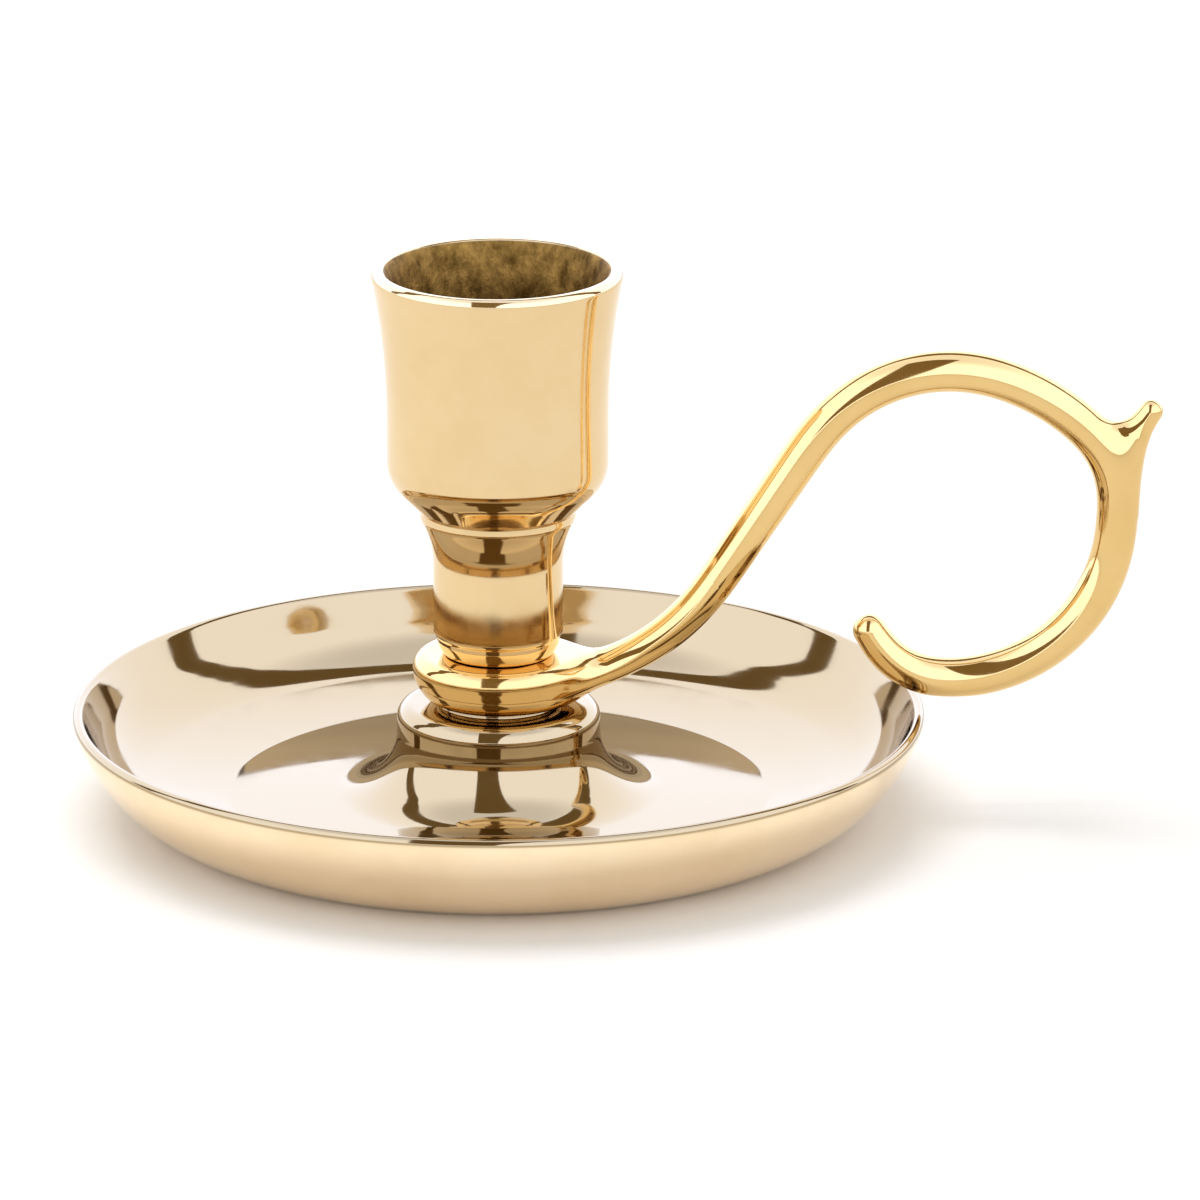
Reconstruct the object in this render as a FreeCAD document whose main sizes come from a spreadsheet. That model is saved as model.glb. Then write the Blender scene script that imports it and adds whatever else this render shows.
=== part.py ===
# Chamberstick with finger loop: a candle cup on a short stem, a looped handle and a
# drip pan, all cast and turned brass, drawn together by one stud with a nut under the
# pan. The table is the plane z = 0, the cup's axis is the Z axis and the handle points
# along +X. Lengths are millimetres, angles are degrees.
import FreeCAD, Part
import math
import os
import re
import Sketcher

document = FreeCAD.newDocument("chamberstick")

# Driving sizes, one row for each: name, value, what it measures.
DRIVING_SIZES = [
    # drip pan
    ("pan_rim_radius", 50.0, "widest radius of the pan, at its lip"),
    ("pan_height", 12.6, "top of the lip above the table"),
    ("pan_lip_radius", 0.65, "rounding of the lip, half the wall there"),
    ("pan_foot_radius", 38.7, "outer edge of the flat that rests on the table"),
    ("pan_wall_radius", 17.3, "arc of the outer wall, foot to lip"),
    ("pan_bowl_radius", 13.2, "arc of the inner wall, lip to floor"),
    ("pan_floor", 2.2, "thickness of the floor"),
    # pedestal raised in the middle of the pan
    ("pedestal_radius", 11.95, "upright flank of the pedestal"),
    ("pedestal_height", 13.2, "flat top of the pedestal above the table"),
    ("pedestal_shoulder", 1.75, "rounding between flank and top"),
    ("pedestal_cove", 7.5, "hollow curve from flank out to the floor"),
    ("pedestal_wall", 2.6, "wall of the hollow pedestal"),
    ("pedestal_roof", 3.0, "metal between the recess and the flat top"),
    ("recess_corner", 0.4, "rounding at the top of the recess"),
    ("seat_radius", 7.2, "raised seat that the handle's eye rests on"),
    ("seat_rise", 0.5, "seat above the pedestal's flat top"),
    # handle: eye on the stud, bent bar, thumb spur
    ("eye_radius", 10.07, "widest radius of the eye"),
    ("eye_height", 5.6, "thickness of the eye, seat to stem"),
    ("eye_foot_radius", 8.0, "flat underside of the eye"),
    ("eye_rounding", 1.7, "rounded upper edge of the eye"),
    ("arm_start", 3.7, "start of the bar's centreline from the cup's axis"),
    ("arm_rise", 2.2, "start of the bar's centreline above the seat"),
    ("arm_bend_radius", 26.0, "bend from the eye up into the arm"),
    ("arm_angle", 57.0, "slope of the straight arm"),
    ("crown_radius", 19.0, "bend over the top of the loop"),
    ("crown_turn", 74.0, "turn of that bend"),
    ("brow_radius", 26.5, "flatter bend down from the top"),
    ("brow_turn", 29.0, "turn of that bend"),
    ("corner_radius", 11.2, "tight bend under the thumb spur"),
    ("corner_turn", 47.0, "turn of that bend"),
    ("side_length", 3.0, "straight stretch at the loop's far side"),
    ("heel_radius", 19.5, "round bend under the loop"),
    ("heel_turn", 90.0, "turn of that bend"),
    ("curl_radius", 9.5, "last bend, up to the open end"),
    ("curl_turn", 76.5, "turn of that bend"),
    ("loop_rim_gap", 0.75, "loop's underside above the top of the pan"),
    ("neck_width", 11.0, "bar's width across inside the eye"),
    ("neck_depth", 4.2, "bar's depth inside the eye"),
    ("waist_share", 0.5, "narrowest place of the bar, along the first bend"),
    ("waist_thickness", 4.1, "bar there"),
    ("arm_thickness", 4.5, "bar at the foot of the straight arm"),
    ("loop_thickness", 4.9, "bar round the loop"),
    ("curl_thickness", 4.8, "bar where the last bend starts"),
    ("tip_thickness", 3.7, "bar at its open end"),
    ("spur_root_thickness", 4.3, "thumb spur inside the loop's far side"),
    ("spur_neck_thickness", 3.9, "spur where its bend starts"),
    ("spur_offset", 0.25, "spur's centreline outside the bar's"),
    ("spur_sunk", 1.5, "start of the spur inside the loop's far side"),
    ("spur_rise", 4.0, "straight part of the spur above the loop's far side"),
    ("spur_radius", 11.0, "bend of the spur"),
    ("spur_turn", 49.0, "turn of the spur away from the loop"),
    ("spur_tip_thickness", 2.6, "spur at its rounded end"),
    ("neck_rounding", 1.5, "rounded corner where the bar leaves the eye"),
    ("spur_rounding", 2.0, "rounded corner where the spur leaves the loop"),
    ("end_rounding_share", 0.94, "rounding of an open end against half its thickness"),
    ("sharp_angle", 20.0, "least angle that counts as a corner to be rounded"),
    # candle cup and stem, one casting
    ("stem_foot_radius", 6.4, "stem where it stands on the eye"),
    ("stem_foot_height", 2.2, "rounded foot of the stem, up to its ledge"),
    ("stem_foot_rounding", 4.0, "arc of that foot"),
    ("stem_ledge_radius", 7.3, "top of the rounded foot"),
    ("stem_ledge_height", 0.6, "rounded edge of the stem above the foot"),
    ("stem_radius", 7.6, "radius of the stem"),
    ("stem_length", 10.7, "stem from the eye to the start of its flare"),
    ("flare_height", 5.4, "flare from the stem out to the cup's bead"),
    ("bead_radius", 8.9, "stem's flare meets the bead"),
    ("bead_height", 1.3, "height of the bead"),
    ("bead_rounding", 1.6, "arc of the bead"),
    ("crease_radius", 9.05, "crease between the bead and the cup"),
    ("cup_radius", 12.95, "outside of the cup, low on its wall"),
    ("cup_underside_radius", 5.2, "round underside of the cup"),
    ("cup_underside_angle", 45.0, "slope of the cone between crease and underside"),
    ("cup_flare_start", 28.7, "start of the flare to the lip, above the eye"),
    ("cup_lip_offset", 0.8, "middle of the lip's bead outside the cup's wall"),
    ("cup_lip_radius", 0.88, "rounding of the cup's lip"),
    ("cup_height", 46.5, "top of the lip above the eye"),
    ("socket_radius", 11.3, "bore for a candle 22.2 across, seven eighths of an inch"),
    ("socket_floor", 4.6, "bottom of the bore above the crease"),
    ("socket_corner", 1.2, "rounding round the bore's bottom"),
    ("socket_flare", 8.8, "start of the bore's widening, below the lip's top"),
    # stud, washers and nut under the pan
    ("stud_radius", 2.5, "threaded stud, 5 across"),
    ("stud_engagement", 10.7, "stud inside the stem"),
    ("stud_tail", 1.3, "stud standing out of the nut"),
    ("stud_chamfer", 0.6, "chamfer at both ends of the stud"),
    ("thread_clearance", 0.05, "stud to nut and to the stem's tapped hole"),
    ("hole_clearance", 0.15, "stud to the holes that it passes through"),
    ("tapped_end_space", 1.0, "hole beyond the stud's end"),
    ("drill_point", 1.4, "cone left by the drill at the hole's end"),
    ("washer_radius", 5.0, "outside of the flat washer"),
    ("washer_thickness", 1.0, "flat washer"),
    ("spring_washer_radius", 4.6, "outside of the split spring washer"),
    ("spring_washer_thickness", 1.2, "split spring washer, drawn flat"),
    ("spring_washer_slit", 9.0, "angle of its slit"),
    ("nut_width", 8.0, "nut across its flats"),
    ("nut_height", 4.7, "thickness of the nut"),
    ("nut_face_radius", 3.8, "round flat left on the nut's faces"),
    ("nut_bevel_angle", 30.0, "bevel of the nut's corners"),
    # cutting tools
    ("overrun", 1.0, "how far every cut runs past the metal"),
]

# Sizes worked out from the driving ones: name, formula, what it is.
DERIVED_SIZES = [
    ("recess_top", "pedestal_height - pedestal_roof", "roof of the recess under the pedestal"),
    ("recess_radius", "pedestal_radius - pedestal_wall", "upright wall of the recess"),
    ("cove_across", "pedestal_radius + pedestal_cove", "middle of the hollow curve"),
    ("cove_up", "pan_floor + pedestal_cove", "middle of the hollow curve"),
    ("recess_curve", "pedestal_cove + pedestal_wall", "recess wall, even with the hollow curve"),
    ("recess_mouth", "cove_across - sqrt(recess_curve ^ 2 - cove_up ^ 2)", "recess at the table"),
    ("seat_top", "pedestal_height + seat_rise", "seat of the eye"),
    ("eye_top", "seat_top + eye_height", "seat of the stem"),
    ("stud_hole", "stud_radius + hole_clearance", "holes that the stud passes through"),
    ("tapped_hole", "stud_radius + thread_clearance", "threads that hold the stud"),
    # middle of the pan's lip, then the outer wall's arc from the foot to its contact with the lip
    ("lip_across", "pan_rim_radius - pan_lip_radius", "middle of the lip's rounding"),
    ("lip_up", "pan_height - pan_lip_radius", "middle of the lip's rounding"),
    ("foot_to_lip", "sqrt((lip_across - pan_foot_radius) ^ 2 + lip_up ^ 2)", "foot to lip's middle"),
    ("wall_reach", "pan_wall_radius - pan_lip_radius", "wall's middle to the lip's middle"),
    ("wall_along", "(pan_wall_radius ^ 2 - wall_reach ^ 2 + foot_to_lip ^ 2) / (2 * foot_to_lip)",
     "wall's middle, measured along the line from foot to lip"),
    ("wall_aside", "sqrt(pan_wall_radius ^ 2 - wall_along ^ 2)", "wall's middle, beside that line"),
    ("wall_across", "pan_foot_radius + (wall_along * (lip_across - pan_foot_radius)"
     " - wall_aside * lip_up) / foot_to_lip", "middle of the wall's arc"),
    ("wall_up", "(wall_along * lip_up + wall_aside * (lip_across - pan_foot_radius)) / foot_to_lip",
     "middle of the wall's arc"),
    ("lip_outer_across", "wall_across + (lip_across - wall_across) * pan_wall_radius / wall_reach",
     "outer wall meets lip"),
    ("lip_outer_up", "wall_up + (lip_up - wall_up) * pan_wall_radius / wall_reach",
     "outer wall meets lip"),
    # inner wall: tangent to the floor and to the lip
    ("bowl_up", "pan_floor + pan_bowl_radius", "middle of the inner wall's arc"),
    ("bowl_reach", "pan_bowl_radius + pan_lip_radius", "that middle to the lip's middle"),
    ("bowl_across", "lip_across - sqrt(bowl_reach ^ 2 - (bowl_up - lip_up) ^ 2)",
     "middle of the inner wall's arc"),
    ("lip_inner_across", "lip_across - (lip_across - bowl_across) * pan_lip_radius / bowl_reach",
     "inner wall meets lip"),
    ("lip_inner_up", "lip_up + (bowl_up - lip_up) * pan_lip_radius / bowl_reach",
     "inner wall meets lip"),
    # eye of the handle
    ("eye_waist", "eye_height - eye_rounding", "widest part of the eye above the seat"),
    ("eye_belly", "((eye_radius - eye_foot_radius) ^ 2 + eye_waist ^ 2)"
     " / (2 * (eye_radius - eye_foot_radius))", "arc of the eye's lower side"),
    # headings of the bar after each bend, and the arm's length that puts the loop over the rim
    ("crown_heading", "arm_angle - crown_turn", "heading after the crown"),
    ("brow_heading", "crown_heading - brow_turn", "heading after the brow"),
    ("side_heading", "brow_heading - corner_turn", "heading after the corner"),
    ("loop_low", "pan_height + loop_rim_gap + loop_thickness / 2", "centreline under the loop"),
    ("loop_drop", "crown_radius * (cos(crown_heading) - cos(arm_angle))"
     " + brow_radius * (cos(brow_heading) - cos(crown_heading))"
     " + corner_radius * (cos(side_heading) - cos(brow_heading))"
     " + side_length * sin(side_heading) - heel_radius * (1 + cos(side_heading))",
     "rise from the end of the arm to the loop's lowest point"),
    ("arm_length", "(loop_low - seat_top - arm_rise - arm_bend_radius * (1 - cos(arm_angle))"
     " - loop_drop) / sin(arm_angle)", "straight arm"),
    # cup's outer flare and the bore's flare, both tangent to the lip's bead
    ("cup_lip_across", "cup_radius + cup_lip_offset", "middle of the lip's bead"),
    ("cup_lip_up", "eye_top + cup_height - cup_lip_radius", "middle of the lip's bead"),
    ("cup_flare_up", "eye_top + cup_flare_start", "start of the outer flare"),
    ("cup_flare_rise", "cup_lip_up - cup_flare_up", "outer flare's start to the bead's middle"),
    ("cup_flare_radius", "(cup_lip_offset ^ 2 + cup_flare_rise ^ 2 - cup_lip_radius ^ 2)"
     " / (2 * (cup_lip_offset + cup_lip_radius))", "arc of the outer flare"),
    ("cup_flare_share", "cup_lip_radius / (cup_flare_radius + cup_lip_radius)",
     "bead's part of the line between the two middles"),
    ("cup_outer_across", "cup_lip_across + cup_flare_share * (cup_flare_radius - cup_lip_offset)",
     "outer flare meets bead"),
    ("cup_outer_up", "cup_lip_up - cup_flare_share * cup_flare_rise", "outer flare meets bead"),
    ("socket_flare_up", "eye_top + cup_height - socket_flare", "start of the bore's flare"),
    ("socket_lip_offset", "cup_lip_across - socket_radius", "bead's middle outside the bore"),
    ("socket_flare_rise", "cup_lip_up - socket_flare_up", "bore's flare to the bead's middle"),
    ("socket_flare_radius", "(socket_lip_offset ^ 2 + socket_flare_rise ^ 2 - cup_lip_radius ^ 2)"
     " / (2 * (socket_lip_offset - cup_lip_radius))", "arc of the bore's flare"),
    ("mouth_share", "cup_lip_radius / (socket_flare_radius - cup_lip_radius)",
     "bead's radius against the line between the two middles"),
    ("mouth_across", "cup_lip_across - mouth_share * (socket_flare_radius - socket_lip_offset)",
     "bore's flare meets bead"),
    ("mouth_up", "cup_lip_up + mouth_share * socket_flare_rise", "bore's flare meets bead"),
    # stem's rounded edge and flare, and the cup's underside
    ("stem_edge_rounding", "((stem_radius - stem_ledge_radius) ^ 2 + stem_ledge_height ^ 2)"
     " / (2 * (stem_radius - stem_ledge_radius))", "arc of the stem's lower edge"),
    ("stem_flare_up", "eye_top + stem_length", "start of the stem's flare"),
    ("bead_up", "stem_flare_up + flare_height", "lower edge of the bead"),
    ("crease_up", "bead_up + bead_height", "crease between the bead and the cup"),
    ("stem_flare_radius", "((bead_radius - stem_radius) ^ 2 + flare_height ^ 2)"
     " / (2 * (bead_radius - stem_radius))", "arc of the stem's flare"),
    ("cone_across", "cup_radius - cup_underside_radius * (1 - cos(cup_underside_angle))",
     "cone meets the round underside"),
    ("cone_up", "crease_up + (cone_across - crease_radius) * tan(cup_underside_angle)",
     "cone meets the round underside"),
    ("cup_wall_up", "cone_up + cup_underside_radius * sin(cup_underside_angle)",
     "round underside meets the wall"),
    ("socket_bottom", "crease_up + socket_floor", "bottom of the candle's bore"),
    # start of the thumb spur, beside the loop's far side
    ("spur_foot_across", "arm_start + arm_bend_radius * sin(arm_angle) + arm_length * cos(arm_angle)"
     " + crown_radius * (sin(arm_angle) - sin(crown_heading))"
     " + brow_radius * (sin(crown_heading) - sin(brow_heading))"
     " + corner_radius * (sin(brow_heading) - sin(side_heading)) + spur_offset"
     " + spur_sunk * cos(side_heading)", "start of the spur's centreline"),
    ("spur_foot_up", "loop_low + heel_radius * (1 + cos(side_heading))"
     " + (spur_sunk - side_length) * sin(side_heading)", "start of the spur's centreline"),
    ("spur_heading", "side_heading + 180", "start of the spur, straight up the loop's side"),
    # stack of fixings, downwards from the recess's roof
    ("washer_bottom", "recess_top - washer_thickness", "under the flat washer"),
    ("spring_washer_bottom", "washer_bottom - spring_washer_thickness", "under the spring washer"),
    ("nut_bottom", "spring_washer_bottom - nut_height", "under the nut"),
    ("stud_bottom", "nut_bottom - stud_tail", "lower end of the stud"),
    ("stud_top", "eye_top + stud_engagement", "upper end of the stud"),
    ("tapped_top", "stud_top + tapped_end_space", "full depth of the tapped hole"),
    ("nut_corner", "nut_width / (2 * cos(30))", "radius to the nut's corners"),
    ("nut_cut_radius", "nut_corner + overrun", "outer edge of the cut that bevels the corners"),
    ("nut_cut_depth", "(nut_cut_radius - nut_face_radius) * tan(nut_bevel_angle)",
     "height of that cut at its outer edge"),
]

SIZE_NAMES = {row[0] for row in DRIVING_SIZES + DERIVED_SIZES}


def fill_sheet():
    """The sheet holds every size: name, value or formula, what it measures."""
    sheet = document.addObject("Spreadsheet::Sheet", "Sizes")
    rows = [(name, str(value), note) for name, value, note in DRIVING_SIZES]
    rows += [(name, "=" + formula, note) for name, formula, note in DERIVED_SIZES]
    for row, (name, content, note) in enumerate(rows, start=1):
        sheet.set("A%d" % row, name)
        sheet.set("B%d" % row, content)
        sheet.set("C%d" % row, note)
        sheet.setAlias("B%d" % row, name)
    document.recompute()
    return sheet


SHEET = fill_sheet()


def on_sheet(size):
    """Write a sum of size names so that any object of the document can read it."""
    return re.sub(r"[a-z_]+", lambda word: "Sizes." + word[0] if word[0] in SIZE_NAMES else word[0], size)


def value_of(size):
    """Number that a sum of size names stands for now."""
    return float(SHEET.evalExpression(size))


def bind(target, field, size):
    """Tie a property or a sketch's dimension to the sheet."""
    target.setExpression(field, on_sheet(size))


def new_body(name):
    """Empty body for one piece; its label names the piece."""
    body = document.addObject("PartDesign::Body", name)
    body.Label = name
    return body


def new_sketch(body, name, role="XZ_Plane"):
    """Sketch on one of the body's own origin planes."""
    plane = next(face for face in body.Origin.OriginFeatures if face.Role == role)
    sketch = body.newObject("Sketcher::SketchObject", name)
    sketch.AttachmentSupport = [(plane, "")]
    sketch.MapMode = "FlatFace"
    return sketch


def dimension(sketch, kind, where, size, angle=False):
    """Add one dimension to a sketch and tie it to the sheet."""
    number = value_of(size)
    start = math.radians(number) if angle else number
    index = sketch.addConstraint(Sketcher.Constraint(kind, *where, start))
    bind(sketch, "Constraints[%d]" % index, "(%s) * 1 deg" % size if angle else size)


def draw_outline(sketch, corners):
    """Closed outline of straight and round sides.

    Each corner is (across, up), or (across, up, turn, radius) where the side that leaves
    it is an arc that turns "left" or "right" on its way to the next corner.
    """
    points = [FreeCAD.Vector(value_of(c[0]), value_of(c[1]), 0) for c in corners]
    ends = []
    for index, corner in enumerate(corners):
        start = points[index]
        end = points[(index + 1) % len(points)]
        if len(corner) == 2:
            side = sketch.addGeometry(Part.LineSegment(start, end), False)
            ends.append((side, 1, 2))
            continue
        left = corner[2] == "left"
        radius = value_of(corner[3])
        chord = end - start
        depth = math.sqrt(max(radius ** 2 - chord.Length ** 2 / 4, 0))
        normal = FreeCAD.Vector(-chord.y, chord.x, 0).normalize()
        middle = (start + end) * 0.5 + normal * (depth if left else -depth)
        first, last = (start, end) if left else (end, start)
        from_angle = math.atan2(first.y - middle.y, first.x - middle.x)
        to_angle = math.atan2(last.y - middle.y, last.x - middle.x)
        if to_angle < from_angle:
            to_angle += 2 * math.pi
        circle = Part.Circle(middle, FreeCAD.Vector(0, 0, 1), radius)
        side = sketch.addGeometry(Part.ArcOfCircle(circle, from_angle, to_angle), False)
        ends.append((side, 1, 2) if left else (side, 2, 1))
    for index, (side, start_end, finish_end) in enumerate(ends):
        following, following_start, _ = ends[(index + 1) % len(ends)]
        sketch.addConstraint(
            Sketcher.Constraint("Coincident", side, finish_end, following, following_start))
        place_corner(sketch, (side, start_end), corners[index])
        if len(corners[index]) == 4:
            dimension(sketch, "Radius", (side,), corners[index][3])


def place_corner(sketch, where, corner):
    """Fix a corner by its distances from the sketch's axes, or on them where they are zero."""
    for kind, axis, size in (("DistanceX", -2, corner[0]), ("DistanceY", -1, corner[1])):
        if size == "0":
            sketch.addConstraint(Sketcher.Constraint("PointOnObject", *where, axis))
        else:
            dimension(sketch, kind, (-1, 1, *where), size)


def turned(body, name, corners, kind="PartDesign::Revolution"):
    """Turn an outline of radius and height about the body's vertical axis."""
    sketch = new_sketch(body, name + "_outline")
    draw_outline(sketch, corners)
    document.recompute()
    feature = body.newObject(kind, name)
    feature.Profile = sketch
    feature.ReferenceAxis = (sketch, ["V_Axis"])
    document.recompute()
    return feature


# Drip pan: turned casting, a shallow bowl with a rolled lip and a hollow pedestal.
def make_drip_pan():
    body = new_body("drip_pan")
    turned(body, "pan_casting", [
        ("stud_hole", "recess_top"),
        ("recess_radius - recess_corner", "recess_top", "right", "recess_corner"),
        ("recess_radius", "recess_top - recess_corner"),
        ("recess_radius", "cove_up", "left", "recess_curve"),
        ("recess_mouth", "0"),
        ("pan_foot_radius", "0", "left", "pan_wall_radius"),
        ("lip_outer_across", "lip_outer_up", "left", "pan_lip_radius"),
        ("lip_across", "pan_height", "left", "pan_lip_radius"),
        ("lip_inner_across", "lip_inner_up", "right", "pan_bowl_radius"),
        ("bowl_across", "pan_floor"),
        ("cove_across", "pan_floor", "right", "pedestal_cove"),
        ("pedestal_radius", "cove_up"),
        ("pedestal_radius", "pedestal_height - pedestal_shoulder", "left", "pedestal_shoulder"),
        ("pedestal_radius - pedestal_shoulder", "pedestal_height"),
        ("seat_radius", "pedestal_height"),
        ("seat_radius", "seat_top"),
        ("stud_hole", "seat_top"),
    ])


def draw_path(sketch, start, heading, runs):
    """Smooth open path of bends and straights.

    Each run is ("left" or "right", radius, turn) or ("straight", length).
    """
    point = FreeCAD.Vector(value_of(start[0]), value_of(start[1]), 0)
    direction = math.radians(value_of(heading))
    up = FreeCAD.Vector(0, 0, 1)
    previous = None
    for run in runs:
        ahead = FreeCAD.Vector(math.cos(direction), math.sin(direction), 0)
        if run[0] == "straight":
            finish = point + ahead * value_of(run[1])
            side = sketch.addGeometry(Part.LineSegment(point, finish), False)
            ends = (1, 2)
        else:
            sign = 1 if run[0] == "left" else -1
            radius = value_of(run[1])
            turn = math.radians(value_of(run[2]))
            middle = point + up.cross(ahead) * radius * sign
            at_start = direction - sign * math.pi / 2
            angles = sorted((at_start, at_start + sign * turn))
            side = sketch.addGeometry(Part.ArcOfCircle(Part.Circle(middle, up, radius), *angles), False)
            ends = (1, 2) if sign > 0 else (2, 1)
            direction += sign * turn
            finish = middle - up.cross(FreeCAD.Vector(math.cos(direction), math.sin(direction), 0)) * radius * sign
        if previous is None:
            place_corner(sketch, (side, ends[0]), start)
            if run[0] == "straight":
                dimension(sketch, "Angle", (side,), heading, angle=True)
            else:
                sketch.addConstraint(Sketcher.Constraint("Vertical", side, ends[0], side, 3))
        else:
            sketch.addConstraint(Sketcher.Constraint("Tangent", *previous, side, ends[0]))
        if run[0] == "straight":
            dimension(sketch, "Distance", (side,), run[1])
        else:
            dimension(sketch, "Radius", (side,), run[1])
            dimension(sketch, "Angle", (side,), run[2], angle=True)
        previous = (side, ends[1])
        point = finish


def new_section(body, name, path, place, heading, width, depth):
    """Round or oval section square to a path; place is (edge, share of that edge)."""
    sketch = body.newObject("Sketcher::SketchObject", name)
    sketch.AttachmentSupport = [(path, "Edge%d" % place[0])]
    sketch.MapMode = "NormalToEdge"
    bind(sketch, "MapPathParameter", place[1])
    document.recompute()
    # every section has its own X across the path and its own Y on the path's left side
    left = math.radians(value_of(heading)) + math.pi / 2
    facing = FreeCAD.Rotation(FreeCAD.Vector(0, -1, 0),
                              FreeCAD.Vector(math.cos(left), 0, math.sin(left)),
                              FreeCAD.Vector(0, 0, 0), "XYZ")
    sketch.AttachmentOffset = FreeCAD.Placement(
        FreeCAD.Vector(0, 0, 0), sketch.Placement.Rotation.inverted() * facing)
    origin = FreeCAD.Vector(0, 0, 0)
    if width == depth:
        circle = Part.Circle(origin, FreeCAD.Vector(0, 0, 1), value_of(width) / 2)
        side = sketch.addGeometry(circle, False)
        dimension(sketch, "Diameter", (side,), width)
    else:
        across = FreeCAD.Vector(value_of(width) / 2, 0, 0)
        upward = FreeCAD.Vector(0, value_of(depth) / 2, 0)
        side = sketch.addGeometry(Part.Ellipse(across, upward, origin), False)
        sketch.exposeInternalGeometry(side)
        dimension(sketch, "Distance", (side + 1,), width)
        dimension(sketch, "Distance", (side + 2,), depth)
        sketch.addConstraint(Sketcher.Constraint("Horizontal", side + 1))
    sketch.addConstraint(Sketcher.Constraint("Coincident", side, 3, -1, 1))
    return sketch


def swept(body, name, start, heading, runs, foot, waist=None):
    """Bar along a path of bends and straights, thickness changing on the way.

    foot is the width and depth at the start, every run ends with the thickness at its
    far end, and waist is (share of the first run, thickness there). Gives the open end's
    place (across, up).
    """
    path = new_sketch(body, name + "_path")
    draw_path(path, start, heading, runs)
    document.recompute()
    sections = [new_section(body, name + "_foot", path, (1, "0"), heading, *foot)]
    if waist:
        middle = "%s + (%s) * %s" % (heading, runs[0][2], waist[0])
        sections.append(new_section(body, name + "_waist", path, (1, waist[0]), middle, waist[1], waist[1]))
    for edge, run in enumerate(runs, start=1):
        if run[0] != "straight":
            heading += " %s (%s)" % ("+" if run[0] == "left" else "-", run[2])
        place = (edge, "0" if run[0] == "right" else "1")
        sections.append(
            new_section(body, "%s_section_%d" % (name, edge), path, place, heading, run[-1], run[-1]))
    document.recompute()
    feature = body.newObject("PartDesign::AdditivePipe", name)
    feature.Profile = sections[0]
    feature.Spine = (path, ["Edge%d" % edge for edge in range(1, len(runs) + 1)])
    feature.Transformation = "Multisection"
    feature.Sections = [(sketch, [""]) for sketch in sections[1:]]
    document.recompute()
    end = path.Shape.Vertexes[-1].Point
    return end.x, end.z


def meets_sharply(shape, edge):
    """True where the two faces at an edge meet at an angle."""
    faces = shape.ancestorsOfType(edge, Part.Face)
    if len(faces) != 2:
        return False
    middle = edge.valueAt((edge.FirstParameter + edge.LastParameter) / 2)
    first, second = [face.normalAt(*face.Surface.parameter(middle)) for face in faces]
    return first.dot(second) < math.cos(math.radians(value_of("sharp_angle")))


def round_edge(body, name, near, size):
    """Round the sharp edge whose middle lies nearest to a point (across, up) of the plane y = 0."""
    casting = body.Tip
    shape = casting.Shape
    point = FreeCAD.Vector(near[0], 0, near[1])
    sharp = [index for index, edge in enumerate(shape.Edges, start=1)
             if not edge.Degenerated and meets_sharply(shape, edge)]
    nearest = min(sharp, key=lambda index: shape.Edges[index - 1].CenterOfMass.distanceToPoint(point))
    fillet = body.newObject("PartDesign::Fillet", name)
    fillet.Base = (casting, ["Edge%d" % nearest])
    bind(fillet, "Radius", size)
    document.recompute()


# Handle: cast bar with an eye that the stud passes through, an open loop for the finger
# and a spur for the thumb.
def make_loop_handle():
    body = new_body("loop_handle")
    turned(body, "eye", [
        ("stud_hole", "seat_top"),
        ("eye_foot_radius", "seat_top", "left", "eye_belly"),
        ("eye_radius", "seat_top + eye_waist", "left", "eye_rounding"),
        ("eye_radius - eye_rounding", "eye_top"),
        ("stud_hole", "eye_top"),
    ])
    loop_end = swept(body, "loop", ("arm_start", "seat_top + arm_rise"), "0", [
        ("left", "arm_bend_radius", "arm_angle", "arm_thickness"),
        ("straight", "arm_length", "loop_thickness"),
        ("right", "crown_radius", "crown_turn", "loop_thickness"),
        ("right", "brow_radius", "brow_turn", "loop_thickness"),
        ("right", "corner_radius", "corner_turn", "loop_thickness"),
        ("straight", "side_length", "loop_thickness"),
        ("right", "heel_radius", "heel_turn", "curl_thickness"),
        ("right", "curl_radius", "curl_turn", "tip_thickness"),
    ], ("neck_width", "neck_depth"), ("waist_share", "waist_thickness"))
    round_edge(body, "loop_end_rounding", loop_end, "tip_thickness / 2 * end_rounding_share")
    round_edge(body, "neck_fillet", (value_of("eye_radius"), value_of("seat_top + eye_waist")),
               "neck_rounding")
    spur_end = swept(body, "spur", ("spur_foot_across", "spur_foot_up"), "spur_heading", [
        ("straight", "spur_sunk + spur_rise", "spur_neck_thickness"),
        ("right", "spur_radius", "spur_turn", "spur_tip_thickness"),
    ], ("spur_root_thickness", "spur_root_thickness"))
    round_edge(body, "spur_end_rounding", spur_end, "spur_tip_thickness / 2 * end_rounding_share")
    crotch = "spur_foot_up + spur_sunk + spur_rise + loop_thickness / 2"
    round_edge(body, "spur_fillet", (value_of("spur_foot_across"), value_of(crotch)), "spur_rounding")


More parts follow.
